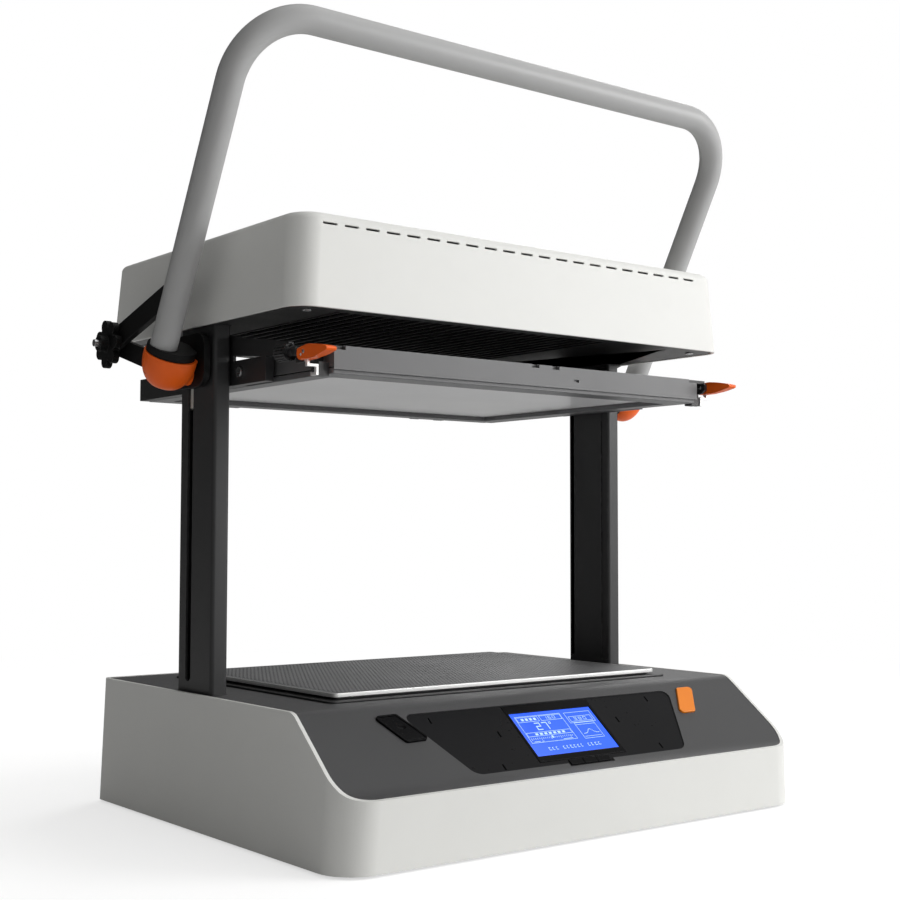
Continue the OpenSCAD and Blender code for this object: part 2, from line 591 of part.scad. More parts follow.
base_shell();
bottom_plate();
rubber_feet();
console_panel();
console_insert();
display_bezel();
display_screen();
console_board();
power_key();
vacuum_key();
vacuum_key_bezel();
menu_key_left();
menu_key_middle();
menu_key_right();
platen_tray();
platen();
platen_rim();
air_duct();
vacuum_motor();
impeller();
control_board();
power_supply();
power_inlet();
column_left();
column_right();
column_brackets();
column_bumpers();
heater_shell();
heater_plate();
heater_guard();
heating_elements();
heater_reflector();
heater_brackets();
heater_screws();
guide_blocks();
carriage_plates();
pivot_pins();
carriage_arms();
carriage_bolts();
lower_frame();
plastic_sheet();
upper_frame();
frame_hinges();
hinge_pins();
latch_catches();
latch_brackets();
latch_spacers();
latch_pins();
latch_lever_left();
latch_lever_right();
latch_hook_left();
latch_hook_right();
handle_tube();
handle_covers();
handle_collars();
brace_upper();
brace_lower();
brace_bolts();
star_knob_left();
star_knob_right();
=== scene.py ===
# Looks for the desktop vacuum forming machine. Metres, same frame as the CAD.
import bpy, bmesh, math, json
from math import sin, cos, tan, radians, pi
from mathutils import Vector, Matrix

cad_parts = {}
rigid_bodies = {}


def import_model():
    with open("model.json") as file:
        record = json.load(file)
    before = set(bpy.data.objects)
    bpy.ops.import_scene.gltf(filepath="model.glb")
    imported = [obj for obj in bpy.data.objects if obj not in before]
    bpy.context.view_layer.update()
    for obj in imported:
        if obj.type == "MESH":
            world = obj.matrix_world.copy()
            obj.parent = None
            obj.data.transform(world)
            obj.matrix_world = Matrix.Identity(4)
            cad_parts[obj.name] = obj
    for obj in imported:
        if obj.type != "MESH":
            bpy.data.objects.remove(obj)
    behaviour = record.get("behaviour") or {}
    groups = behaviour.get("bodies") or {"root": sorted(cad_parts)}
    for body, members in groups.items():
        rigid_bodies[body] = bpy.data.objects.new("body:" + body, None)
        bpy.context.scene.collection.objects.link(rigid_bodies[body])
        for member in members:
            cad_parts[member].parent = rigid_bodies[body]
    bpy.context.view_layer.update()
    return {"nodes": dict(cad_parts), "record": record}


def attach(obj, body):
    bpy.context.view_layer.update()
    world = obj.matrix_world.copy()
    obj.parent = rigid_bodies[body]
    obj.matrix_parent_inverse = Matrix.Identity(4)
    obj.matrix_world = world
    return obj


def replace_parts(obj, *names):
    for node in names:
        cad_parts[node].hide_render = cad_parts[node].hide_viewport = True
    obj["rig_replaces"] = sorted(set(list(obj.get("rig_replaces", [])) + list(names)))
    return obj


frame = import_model()
NODES = frame["nodes"]
MM = 0.001

# ------------------------------------------------------------------ materials
def new_mat(name, base, rough, metallic=0.0, vary=0.06, grain=900.0, bump=0.05, rough_var=0.08,
            specks=0.0, edge_wear_and_rim_highlight=0.0, edge_wear_and_rim_highlight_col=None, coat=0.0, brushed=None, spec=0.5, dirt=0.0,
            scratch=0.0, emission=None, alpha=1.0, transmission=0.0, ior=1.45, dist=0.0004):
    m = bpy.data.materials.new(name)
    m.use_nodes = True
    nt = m.node_tree
    n, l = nt.nodes, nt.links
    b = n["Principled BSDF"]
    b.inputs["Metallic"].default_value = metallic
    b.inputs["Specular IOR Level"].default_value = spec
    b.inputs["IOR"].default_value = ior
    b.inputs["Coat Weight"].default_value = coat
    b.inputs["Coat Roughness"].default_value = 0.12
    b.inputs["Transmission Weight"].default_value = transmission
    b.inputs["Alpha"].default_value = alpha
    tc = n.new("ShaderNodeTexCoord")
    # slow colour variation
    big = n.new("ShaderNodeTexNoise"); big.inputs["Scale"].default_value = 14.0
    big.inputs["Detail"].default_value = 3.0; big.inputs["Roughness"].default_value = 0.5
    l.new(tc.outputs["Object"], big.inputs["Vector"])
    rampc = n.new("ShaderNodeValToRGB")
    rampc.color_ramp.elements[0].position = 0.3; rampc.color_ramp.elements[1].position = 0.7
    lo = [c * (1 - vary) for c in base[:3]]; hi = [min(1, c * (1 + vary)) for c in base[:3]]
    rampc.color_ramp.elements[0].color = (*lo, 1); rampc.color_ramp.elements[1].color = (*hi, 1)
    l.new(big.outputs["Fac"], rampc.inputs["Fac"])
    col = rampc.outputs["Color"]
    # fine grain
    if brushed:
        mp = n.new("ShaderNodeMapping"); mp.inputs["Scale"].default_value = brushed
        l.new(tc.outputs["Object"], mp.inputs["Vector"])
        src = mp.outputs["Vector"]
    else:
        src = tc.outputs["Object"]
    fine = n.new("ShaderNodeTexNoise"); fine.inputs["Scale"].default_value = grain
    fine.inputs["Detail"].default_value = 4.0; fine.inputs["Roughness"].default_value = 0.6
    l.new(src, fine.inputs["Vector"])
    # roughness
    mr = n.new("ShaderNodeMapRange")
    mr.inputs["From Min"].default_value = 0.3; mr.inputs["From Max"].default_value = 0.7
    mr.inputs["To Min"].default_value = max(0.02, rough - rough_var); mr.inputs["To Max"].default_value = min(1, rough + rough_var)
    mixr = n.new("ShaderNodeMath"); mixr.operation = "MULTIPLY_ADD"
    mixr.inputs[1].default_value = 0.5
    l.new(fine.outputs["Fac"], mixr.inputs[0])
    half = n.new("ShaderNodeMath"); half.operation = "MULTIPLY"; half.inputs[1].default_value = 0.5
    l.new(big.outputs["Fac"], half.inputs[0]); l.new(half.outputs[0], mixr.inputs[2])
    l.new(mixr.outputs[0], mr.inputs["Value"])
    l.new(mr.outputs["Result"], b.inputs["Roughness"])
    # specks: tiny lighter dots
    if specks:
        vor = n.new("ShaderNodeTexVoronoi"); vor.inputs["Scale"].default_value = 420.0
        l.new(tc.outputs["Object"], vor.inputs["Vector"])
        st = n.new("ShaderNodeMapRange"); st.inputs["From Min"].default_value = 0.10; st.inputs["From Max"].default_value = 0.16
        st.inputs["To Min"].default_value = specks; st.inputs["To Max"].default_value = 0.0
        l.new(vor.outputs["Distance"], st.inputs["Value"])
        mx = n.new("ShaderNodeMix"); mx.data_type = "RGBA"
        l.new(st.outputs["Result"], mx.inputs["Factor"]); l.new(col, mx.inputs[6])
        mx.inputs[7].default_value = (*[min(1, c * 1.6 + 0.02) for c in base[:3]], 1)
        col = mx.outputs[2]
    # dust and handling marks: darker in a random noise pattern
    if dirt:
        dn = n.new("ShaderNodeTexNoise"); dn.inputs["Scale"].default_value = 55.0; dn.inputs["Detail"].default_value = 6.0
        l.new(tc.outputs["Object"], dn.inputs["Vector"])
        dr = n.new("ShaderNodeMapRange"); dr.inputs["From Min"].default_value = 0.52; dr.inputs["From Max"].default_value = 0.75
        dr.inputs["To Min"].default_value = 0.0; dr.inputs["To Max"].default_value = dirt
        l.new(dn.outputs["Fac"], dr.inputs["Value"])
        mx = n.new("ShaderNodeMix"); mx.data_type = "RGBA"
        l.new(dr.outputs["Result"], mx.inputs["Factor"]); l.new(col, mx.inputs[6])
        mx.inputs[7].default_value = (*[c * 0.72 for c in base[:3]], 1)
        col = mx.outputs[2]
    # edges lightened: edge wear on most materials, and on key_black a painted rim highlight standing in for glossy rim
    # reflections
    if edge_wear_and_rim_highlight:
        bev = n.new("ShaderNodeBevel"); bev.samples = 4; bev.inputs["Radius"].default_value = 0.0009
        geo = n.new("ShaderNodeNewGeometry")
        dot = n.new("ShaderNodeVectorMath"); dot.operation = "DOT_PRODUCT"
        l.new(bev.outputs["Normal"], dot.inputs[0]); l.new(geo.outputs["Normal"], dot.inputs[1])
        er = n.new("ShaderNodeMapRange"); er.inputs["From Min"].default_value = 0.90; er.inputs["From Max"].default_value = 0.999
        er.inputs["To Min"].default_value = 1.0; er.inputs["To Max"].default_value = 0.0
        l.new(dot.outputs["Value"], er.inputs["Value"])
        wn = n.new("ShaderNodeTexNoise"); wn.inputs["Scale"].default_value = 160.0; wn.inputs["Detail"].default_value = 5.0
        l.new(tc.outputs["Object"], wn.inputs["Vector"])
        wr = n.new("ShaderNodeMapRange"); wr.inputs["From Min"].default_value = 0.42; wr.inputs["From Max"].default_value = 0.62
        wr.inputs["To Min"].default_value = 0.0; wr.inputs["To Max"].default_value = edge_wear_and_rim_highlight
        l.new(wn.outputs["Fac"], wr.inputs["Value"])
        mu = n.new("ShaderNodeMath"); mu.operation = "MULTIPLY"
        l.new(er.outputs["Result"], mu.inputs[0]); l.new(wr.outputs["Result"], mu.inputs[1])
        mx = n.new("ShaderNodeMix"); mx.data_type = "RGBA"
        l.new(mu.outputs[0], mx.inputs["Factor"]); l.new(col, mx.inputs[6])
        wc = edge_wear_and_rim_highlight_col or [min(1, c * 1.7 + 0.05) for c in base[:3]]
        mx.inputs[7].default_value = (*wc, 1)
        col = mx.outputs[2]
    l.new(col, b.inputs["Base Color"])
    # bump: grain, plus fine scratches
    bp = n.new("ShaderNodeBump"); bp.inputs["Strength"].default_value = bump; bp.inputs["Distance"].default_value = dist
    l.new(fine.outputs["Fac"], bp.inputs["Height"])
    last = bp
    if scratch:
        ms = n.new("ShaderNodeMapping"); ms.inputs["Scale"].default_value = (30, 900, 300); ms.inputs["Rotation"].default_value = (0.2, 0.1, 0.7)
        l.new(tc.outputs["Object"], ms.inputs["Vector"])
        sn = n.new("ShaderNodeTexNoise"); sn.inputs["Scale"].default_value = 1.2; sn.inputs["Detail"].default_value = 2.0
        l.new(ms.outputs["Vector"], sn.inputs["Vector"])
        b2 = n.new("ShaderNodeBump"); b2.inputs["Strength"].default_value = scratch; b2.inputs["Distance"].default_value = 0.0002
        l.new(sn.outputs["Fac"], b2.inputs["Height"]); l.new(last.outputs["Normal"], b2.inputs["Normal"])
        last = b2
    l.new(last.outputs["Normal"], b.inputs["Normal"])
    if emission:
        b.inputs["Emission Color"].default_value = (*emission[:3], 1)
        b.inputs["Emission Strength"].default_value = emission[3]
    return m

M = {}
M["white_shell"] = new_mat("white_shell", (0.80, 0.80, 0.775), 0.46, vary=0.012, grain=1500, bump=0.10, rough_var=0.05, dirt=0.03, spec=0.4)
M["console_grey"] = new_mat("console_grey", (0.056, 0.056, 0.058), 0.50, vary=0.05, grain=2600, bump=0.28, rough_var=0.07, specks=0.10, spec=0.5, edge_wear_and_rim_highlight=0.25)
M["black_gloss"] = new_mat("black_gloss", (0.010, 0.010, 0.011), 0.16, vary=0.1, grain=240, bump=0.02, rough_var=0.05, scratch=0.03, spec=0.5, edge_wear_and_rim_highlight=0.2)
M["black_plastic"] = new_mat("black_plastic", (0.013, 0.013, 0.014), 0.42, vary=0.12, grain=1800, bump=0.22, rough_var=0.1, spec=0.45, edge_wear_and_rim_highlight=0.35)
M["orange_plastic"] = new_mat("orange_plastic", (0.90, 0.245, 0.010), 0.36, vary=0.03, grain=1400, bump=0.08, rough_var=0.06, spec=0.45, edge_wear_and_rim_highlight=0.3, edge_wear_and_rim_highlight_col=(0.95, 0.36, 0.10))
M["cover_orange"] = new_mat("cover_orange", (0.98, 0.14, 0.008), 0.42, vary=0.03, grain=1300, bump=0.10, rough_var=0.06, spec=0.40, edge_wear_and_rim_highlight=0.3, edge_wear_and_rim_highlight_col=(0.85, 0.20, 0.05))
M["insert_black"] = new_mat("insert_black", (0.008, 0.008, 0.009), 0.30, vary=0.1, grain=240, bump=0.03, rough_var=0.05, scratch=0.03, spec=0.09, edge_wear_and_rim_highlight=0.10)
# key_black: its strong lighter edge colour is a painted rim highlight for the glossy key rims
M["key_black"] = new_mat("key_black", (0.0035, 0.0035, 0.004), 0.24, vary=0.1, grain=400, bump=0.02, rough_var=0.05, spec=0.06, scratch=0.03, edge_wear_and_rim_highlight=0.5, edge_wear_and_rim_highlight_col=(0.06, 0.06, 0.06))
M["near_black"] = new_mat("near_black", (0.006, 0.006, 0.006), 0.5, vary=0.12, grain=1500, bump=0.2, rough_var=0.1, spec=0.22, edge_wear_and_rim_highlight=0.25, edge_wear_and_rim_highlight_col=(0.05, 0.05, 0.05))
M["black_metal"] = new_mat("black_metal", (0.027, 0.027, 0.028), 0.46, vary=0.12, grain=1700, bump=0.20, rough_var=0.08, spec=0.5, edge_wear_and_rim_highlight=0.5, edge_wear_and_rim_highlight_col=(0.14, 0.14, 0.14))
M["dark_metal"] = new_mat("dark_metal", (0.030, 0.030, 0.031), 0.42, vary=0.10, grain=700, bump=0.10, rough_var=0.10, metallic=0.0, spec=0.5, edge_wear_and_rim_highlight=0.4, dirt=0.3)
M["frame_metal"] = new_mat("frame_metal", (0.125, 0.125, 0.128), 0.42, vary=0.05, grain=1500, bump=0.14, rough_var=0.08, spec=0.5, edge_wear_and_rim_highlight=0.5, edge_wear_and_rim_highlight_col=(0.34, 0.34, 0.34))
M["platen_metal"] = new_mat("platen_metal", (0.20, 0.20, 0.205), 0.44, metallic=0.35, vary=0.08, grain=900, bump=0.12, rough_var=0.10, scratch=0.06, spec=0.5)
M["bare_aluminium"] = new_mat("bare_aluminium", (0.80, 0.80, 0.79), 0.34, metallic=0.55, vary=0.05, grain=30, bump=0.10, brushed=(2, 60, 60), rough_var=0.1)
M["tube_metal"] = new_mat("tube_metal", (0.43, 0.43, 0.43), 0.40, metallic=0.0, vary=0.03, grain=2200, bump=0.10, rough_var=0.06, spec=0.5, specks=0.05)
M["steel"] = new_mat("steel", (0.62, 0.62, 0.63), 0.30, metallic=1.0, vary=0.08, grain=30, bump=0.12, brushed=(40, 3, 40), rough_var=0.12, scratch=0.05)
M["hook_steel"] = new_mat("hook_steel", (0.86, 0.86, 0.85), 0.42, metallic=0.35, vary=0.04, grain=60, bump=0.08, brushed=(30, 30, 3), rough_var=0.08)
M["ceramic"] = new_mat("ceramic", (0.66, 0.62, 0.55), 0.3, vary=0.1, grain=300, bump=0.1, rough_var=0.1)
M["guide_plastic"] = new_mat("guide_plastic", (0.66, 0.65, 0.60), 0.5, vary=0.05, grain=500, bump=0.2, rough_var=0.1)
M["sheet_plastic"] = new_mat("sheet_plastic", (0.84, 0.84, 0.84), 0.34, vary=0.03, grain=180, bump=0.03, rough_var=0.06, scratch=0.04, spec=0.5, coat=0.2)
M["board"] = new_mat("board", (0.02, 0.11, 0.045), 0.4, vary=0.15, grain=600, bump=0.2)
M["rubber"] = new_mat("rubber", (0.022, 0.022, 0.022), 0.75, vary=0.15, grain=900, bump=0.35)
M["display"] = new_mat("display", (0.01, 0.06, 0.6), 0.12, vary=0.08, grain=2500, bump=0.01, emission=(0.012, 0.125, 1.0, 0.72), coat=0.3)
M["lcd_lines"] = new_mat("lcd_lines", (0.45, 0.62, 0.95), 0.3, vary=0.04, grain=2000, bump=0.01, emission=(0.36, 0.55, 1.0, 0.62))
SLOT = {s["node"]: s["material_slot"] for s in frame["record"]["subparts"]}

# ------------------------------------------------------------------ mesh tools
def mesh_obj(name, verts, faces, scale=MM):
    me = bpy.data.meshes.new(name)
    me.from_pydata([tuple(c * scale for c in v) for v in verts], [], faces)
    me.validate()
    o = bpy.data.objects.new(name, me)
    bpy.context.scene.collection.objects.link(o)
    bm = bmesh.new(); bm.from_mesh(me); bmesh.ops.recalc_face_normals(bm, faces=bm.faces); bm.to_mesh(me); bm.free()
    return o

def loft_data(rings, close=True):
    n = len(rings[0]); v = [p for r in rings for p in r]; f = []
    for k in range(len(rings) - 1):
        for i in range(n):
            j = (i + 1) % n
            f.append((k * n + i, k * n + j, (k + 1) * n + j, (k + 1) * n + i))
    if close:
        f.append(tuple(range(n))[::-1]); f.append(tuple((len(rings) - 1) * n + i for i in range(n)))
    return v, f

def loft(name, rings):
    return mesh_obj(name, *loft_data(rings))

def prism(name, pts, z0, z1):
    return loft(name, [[(x, y, z0) for x, y in pts], [(x, y, z1) for x, y in pts]])

def xprism(name, pts, x0, x1):
    "outline of (y, z) points run along X"
    return loft(name, [[(x0, y, z) for y, z in pts], [(x1, y, z) for y, z in pts]])

def box(name, a, b):
    return prism(name, [(a[0], a[1]), (b[0], a[1]), (b[0], b[1]), (a[0], b[1])], a[2], b[2])

def cyl(name, c, r, z0, z1, n=48):
    return prism(name, [(c[0] + r * cos(2 * pi * i / n), c[1] + r * sin(2 * pi * i / n)) for i in range(n)], z0, z1)

def xcyl(name, x0, x1, y, z, r, n=48):
    return xprism(name, [(y + r * cos(2 * pi * i / n), z + r * sin(2 * pi * i / n)) for i in range(n)], x0, x1)

def arc(cx, cy, r, a0, a1, n=8):
    return [(cx + r * cos(radians(a0 + (a1 - a0) * i / n)), cy + r * sin(radians(a0 + (a1 - a0) * i / n))) for i in range(n + 1)]

def plan(hx, y0, y1, rf, rb, n=16):
    return (arc(-hx + rf, y0 + rf, rf, 180, 270, n) + arc(hx - rf, y0 + rf, rf, 270, 360, n)
            + arc(hx - rb, y1 - rb, rb, 0, 90, n) + arc(-hx + rb, y1 - rb, rb, 90, 180, n))

def at(pts, z):
    return [(x, y, z) for x, y in pts]

def apply_xf(o, m):
    o.data.transform(m); return o

def joined(name, objs):
    "one mesh out of several objects"
    bm = bmesh.new()
    for o in objs:
        me = o.data.copy(); me.transform(o.matrix_world); bm.from_mesh(me); bpy.data.meshes.remove(me)
    me = bpy.data.meshes.new(name); bm.to_mesh(me); bm.free()
    for o in objs: bpy.data.objects.remove(o)
    r = bpy.data.objects.new(name, me); bpy.context.scene.collection.objects.link(r)
    return r

def boolean(o, cutters, op="DIFFERENCE"):
    if not isinstance(cutters, (list, tuple)): cutters = [cutters]
    for c in cutters:
        md = o.modifiers.new("b", "BOOLEAN"); md.object = c; md.operation = op; md.solver = "EXACT"
    dg = bpy.context.evaluated_depsgraph_get(); dg.update()
    me = bpy.data.meshes.new_from_object(o.evaluated_get(dg))
    o.modifiers.clear(); old = o.data; o.data = me; me.name = o.name
    bpy.data.meshes.remove(old)
    for c in cutters: bpy.data.objects.remove(c)
    return o

def mirror_x(o, name):
    me = o.data.copy(); me.transform(Matrix.Scale(-1, 4, (1, 0, 0))); me.flip_normals()
    r = bpy.data.objects.new(name, me); bpy.context.scene.collection.objects.link(r)
    for md in o.modifiers:
        pass
    return r

def soften(o, width=0.5, segs=3, angle=32, dissolve=0.6, weld=False, wn=True, profile=0.5):
    if weld:
        w = o.modifiers.new("weld", "WELD"); w.merge_threshold = 0.000004
    if dissolve:
        d = o.modifiers.new("flat", "DECIMATE"); d.decimate_type = "DISSOLVE"; d.angle_limit = radians(dissolve)
    if width:
        b = o.modifiers.new("edge", "BEVEL"); b.width = width * MM; b.segments = segs
        b.limit_method = "ANGLE"; b.angle_limit = radians(angle); b.harden_normals = False; b.profile = profile
        b.use_clamp_overlap = True; b.miter_outer = "MITER_ARC"
    for p in o.data.polygons: p.use_smooth = True
    if wn:
        k = o.modifiers.new("normals", "WEIGHTED_NORMAL"); k.weight = 90; k.keep_sharp = False; k.mode = "FACE_AREA"
    return o

def use(o, mat, body, *nodes):
    o.data.materials.clear(); o.data.materials.append(M[mat])
    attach(o, body)
    if nodes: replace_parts(o, *nodes)
    mat = {"cover_orange": "orange_plastic", "insert_black": "black_gloss", "near_black": "black_plastic"}.get(mat, mat)
    return o

# ------------------------------------------------------------------ shared sizes (mm, from the CAD)
hw, hd, front_r, deck, lip, slope = 235.0, 189.75, 28.5, 104.6, 51.0, 38.5
k2y, k2z = -153.8, 75.0
SY, SZ = cos(radians(slope)), sin(radians(slope))
col_in, col_out, col_y0, col_y1 = 207.1, 221.9, 13.2, 68.1
piv = (40.65, 357.6); lean = 28.3
FACE = Matrix.Translation((0, k2y * MM, k2z * MM)) @ Matrix.Rotation(radians(slope), 4, "X")
HAND = Matrix.Translation((0, piv[0] * MM, piv[1] * MM)) @ Matrix.Rotation(radians(lean), 4, "X")

def base_ring(i, z):
    k = 6.5 / 102.6 * (z - 2)
    return at(plan(hw - i - k, -hd + i - 0.0247 * (z - 2), hd - i + 0.051 * (z - 2), front_r - i, 8 - min(i, 5)), z)

def above(d, name="above"):
    rc = 30; t = rc * tan(radians(slope / 2)); s0 = -(k2z - lip) / SZ
    q = (k2y + s0 * SY, k2z + s0 * SZ); c = (q[0] - t, lip + rc)
    rk = 16; sk = (deck - k2z) / SZ; kp = (k2y + sk * SY, k2z + sk * SZ); tk = rk * tan(radians(slope / 2)); ck = (kp[0] + tk, deck - rk)
    pts = [(260, 300), (260, deck - d)]
    pts += [(ck[0] + (rk - d) * cos(radians(90 + slope * i / 10)), ck[1] + (rk - d) * sin(radians(90 + slope * i / 10))) for i in range(11)]
    pts += [(c[0] + (rc + d) * cos(radians(-90 + slope - slope * i / 14)), c[1] + (rc + d) * sin(radians(-90 + slope - slope * i / 14))) for i in range(15)]
    pts += [(-260, lip - d), (-260, 300)]
    return xprism(name, pts, -300, 300)

def rounded(pts_r, n=6):
    "outline with each corner (x, y, r) rounded"
    out = []; N = len(pts_r)
    for i in range(N):
        p0, p, p1 = pts_r[i - 1], pts_r[i], pts_r[(i + 1) % N]
        P = Vector(p[:2]); a = (Vector(p0[:2]) - P).normalized(); b = (Vector(p1[:2]) - P).normalized(); r = p[2]
        if r <= 0: out.append(tuple(P)); continue
        th = math.acos(max(-1, min(1, a.dot(b)))); d = r / tan(th / 2)
        s, e = P + a * d, P + b * d; cc = P + (a + b).normalized() * (r / sin(th / 2))
        a0 = math.atan2(s.y - cc.y, s.x - cc.x); a1 = math.atan2(e.y - cc.y, e.x - cc.x)
        while a1 - a0 > pi: a1 -= 2 * pi
        while a1 - a0 < -pi: a1 += 2 * pi
        out += [(cc.x + r * cos(a0 + (a1 - a0) * k / n), cc.y + r * sin(a0 + (a1 - a0) * k / n)) for k in range(n + 1)]
    return out

# ------------------------------------------------------------------ base
base = loft("base_cover", [base_ring(0, 2.0), base_ring(0, 130.0)])
boolean(base, [loft("c", [base_ring(3.0, -20.0), base_ring(3.0, 131.0)]), above(0)])
cuts = [box("c", (-164, 180, 24), (-136, 205, 46))]
cuts.append(joined("c", [box("c", (60 + i * 11, 180, 27), (65 + i * 11, 205, 59)) for i in range(9)]))
boolean(base, cuts)
soften(base, 0.9, 4, angle=28)
use(base, "white_shell", "machine", "base_shell")

INS = [(-137.6, 35.6, 6), (-113.6, -28.3, 12), (113.6, -28.3, 12), (137.6, 35.6, 6)]
INSO = [(-137.85, 35.85, 6.2), (-113.8, -28.55, 12.2), (113.8, -28.55, 12.2), (137.85, 35.85, 6.2)]
def insert_outline(o):
    # trapezoid with the key recess in its lower edge
    return (arc(-131.5, 29.8, 6 + o, 95, 205, 10) + arc(-101.5, -16.5, 12 + o, 215, 268, 10)
            + [(-19.5 - o, -28.5 - o), (-19.5 - o, -32 - o), (26.5 + o, -32 - o), (26.5 + o, -28.5 - o)]
            + arc(101.5, -16.5, 12 + o, 272, 325, 10) + arc(131.5, 29.8, 6 + o, -25, 85, 10))
def key_outline(o):
    return (arc(138.6, 11.6, 3 + o, 160, 270, 8) + arc(150.4, 11.6, 3 + o, 270, 330, 8)
            + arc(165.4, 33.6, 3 + o, -30, 90, 8) + arc(153.6, 33.6, 3 + o, 90, 150, 8))
def key2_outline(o):
    return (arc(134.2, 11.8, 3 + o, 160, 265, 8) + arc(149, 11.3, 3 + o, 275, 330, 8)
            + arc(161, 33, 3 + o, -30, 85, 8) + arc(147, 33.4, 3 + o, 95, 150, 8))
def mir(pts): return [(-x, y) for x, y in pts][::-1]

panel = loft("console_cover", [base_ring(3.2, 20.0), base_ring(3.2, 128.0)])
boolean(panel, above(0.3))
hollow = loft("c", [base_ring(5.6, 10.0), base_ring(5.6, 132.0)])
boolean(hollow, [above(3.1), box("c", (-300, -300, 0), (300, -178, lip - 3))])
boolean(panel, [hollow, box("c", (-300, -300, 0), (300, 300, lip - 12))])
cuts = [box("c", (s * 214.5 - 7.7, col_y0 - 0.3, 90), (s * 214.5 + 7.7, col_y1 + 0.3, 130)) for s in (-1, 1)]
cuts += [apply_xf(prism("c", insert_outline(0.25), -6, 12), FACE), apply_xf(prism("c", key_outline(0.3), -6, 12), FACE),
         apply_xf(prism("c", mir(key2_outline(0.25)), -6, 12), FACE)]
boolean(panel, cuts)
soften(panel, 0.5, 3, angle=28)
use(panel, "console_grey", "machine", "console_panel")

ins = prism("console_window", insert_outline(0), -3.2, -1.0)
cuts = [box("c", (-45.3, -24.3, -6), (45.3, 35.3, 2)), box("c", (-17.6, -30.4, -6), (24.6, -24.8, 2))]
cuts.append(joined("c", [box("c", (x - 0.7, y - 3, -6), (x + 0.7, y + 3, 2)) for x, y in
                         [(-118, 28), (-64, 8), (-80, -24), (62, 10), (110, 29), (86, -22)]]))
boolean(ins, cuts)
apply_xf(ins, FACE); soften(ins, 0.35, 3, angle=28)
use(ins, "insert_black", "machine", "console_insert")

# display: blue panel and its graphics, all generic
def face_quads(name, quads, z0, z1):
    v, f = [], []
    for x0, y0, x1, y1 in quads:
        k = len(v)
        v += [(x0, y0, z0), (x1, y0, z0), (x1, y1, z0), (x0, y1, z0), (x0, y0, z1), (x1, y0, z1), (x1, y1, z1), (x0, y1, z1)]
        f += [(k, k + 3, k + 2, k + 1), (k + 4, k + 5, k + 6, k + 7)] + [(k + a, k + b, k + b + 4, k + a + 4) for a, b in ((0, 1), (1, 2), (2, 3), (3, 0))]
    return apply_xf(mesh_obj(name, v, f), FACE)
px = 0.354
def frame_of(x0, y0, x1, y1, t=px):
    return [(x0, y0, x1, y0 + t), (x0, y1 - t, x1, y1), (x0, y0, x0 + t, y1), (x1 - t, y0, x1, y1)]
SEG = {"2": "abged", "7": "abc", "0": "abcdef", "1": "bc", "6": "afgedc", "8": "abcdefg", "3": "abgcd"}
def digit(ch, x, y, w, h, t):
    s = SEG[ch]; q = []
    if "a" in s: q.append((x, y + h - t, x + w, y + h))
    if "d" in s: q.append((x, y, x + w, y + t))
    if "g" in s: q.append((x, y + h / 2 - t / 2, x + w, y + h / 2 + t / 2))
    if "f" in s: q.append((x, y + h / 2, x + t, y + h))
    if "e" in s: q.append((x, y, x + t, y + h / 2))
    if "b" in s: q.append((x + w - t, y + h / 2, x + w, y + h))
    if "c" in s: q.append((x + w - t, y, x + w, y + h / 2))
    return q
Q = []
Q += frame_of(-39, -4.6, 8, 23.4) + frame_of(-38.2, 17.2, -16.5, 22.6) + frame_of(-14.5, 17.2, 7.2, 22.6)
Q += frame_of(-38.2, 2.0, 7.2, 6.2)
for i in range(4): Q.append((-34 + i * 4.2, 18.6, -31.4 + i * 4.2, 21.2))
for i, ch in enumerate("160"): Q += digit(ch, -10.5 + i * 4.4, 18.5, 2.8, 2.9, px)
Q += digit("2", -24, 8.0, 5.2, 7.8, 0.9) + digit("7", -16.6, 8.0, 5.2, 7.8, 0.9) + frame_of(-9.6, 13.4, -7.4, 15.6, 0.5)
for i in range(7): Q.append((-30 + i * 4.6, 3.0, -27.2 + i * 4.6, 5.1))
for i in range(22): Q.append((-37 + i * 2.0, -1.2 - (0.9 if i % 5 == 0 else 0), -36.6 + i * 2.0, 0.4))
Q += [(-36, -3.6, -30, -3.1), (-28, -3.6, -26, -3.1), (-6, -3.6, 4, -3.1), (-16, -1.2, -14, 1.4)]
Q += frame_of(12, 11.6, 39.4, 23.0) + frame_of(14, 13.0, 37.4, 18.6) + frame_of(15.4, -5.6, 36.4, 11.6) + [(15.4, 9.2, 36.4, 9.2 + px)]
for i, ch in enumerate("380"): Q += digit(ch, 18.5 + i * 5.0, 14.3, 3.0, 3.0, px)
hump = [(18 + i * 0.9, -0.6 + 4.2 * math.exp(-((i - 8.5) / 3.6) ** 2)) for i in range(18)]
Q += [(x, y, x + 0.95, y + 0.5) for x, y in hump] + [(17, -3.6, 34.6, -3.6 + px)]
for i, w in enumerate([2.4, 1.6, 1.8, 0, 2.0, 1.6, 2.4, 1.8, 2.0, 1.4, 0, 2.0, 1.6, 2.6, 2.0]):
    if w: Q += [(-27 + i * 3.7, -13.2, -27 + i * 3.7 + w, -12.7), (-27 + i * 3.7, -13.2, -27 + i * 3.7 + 0.5, -10.0 - (i % 3) * 0.5), (-27 + i * 3.7, -10.8, -27 + i * 3.7 + w * 0.8, -10.3)]
gfx = face_quads("display_graphics", Q, -1.42, -1.36)
use(gfx, "lcd_lines", "machine")

